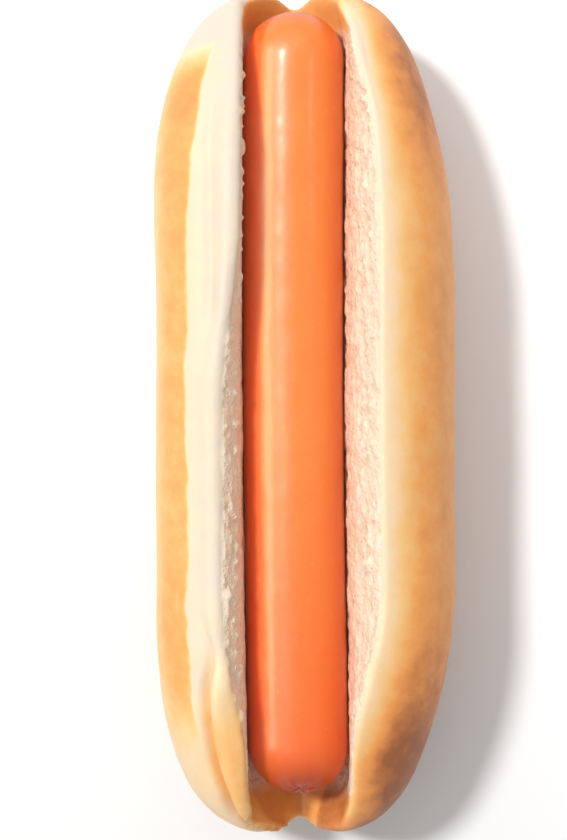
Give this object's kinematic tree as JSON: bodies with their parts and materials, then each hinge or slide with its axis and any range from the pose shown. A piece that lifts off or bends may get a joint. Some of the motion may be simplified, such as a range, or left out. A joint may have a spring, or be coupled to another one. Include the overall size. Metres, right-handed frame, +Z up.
{
  "type": "hot dog",
  "caption": "Hot dog: a soft bun sliced lengthwise and opened upwards, holding a smooth cooked sausage nearly its own length.",
  "frame": {"origin": "middle of the base, on the surface the hot dog lies on", "axes": "+Y along the hot dog towards its far end, +X towards the half with the domed top, +Z up out of the cut"},
  "size_m": [0.0568, 0.1598, 0.0409],
  "materials": {
    "bread": "matte",
    "sausage_skin": "satin"
  },
  "bodies": {
    "root": {"bun": "bread", "sausage": "sausage_skin"}
  },
  "joints": []
}
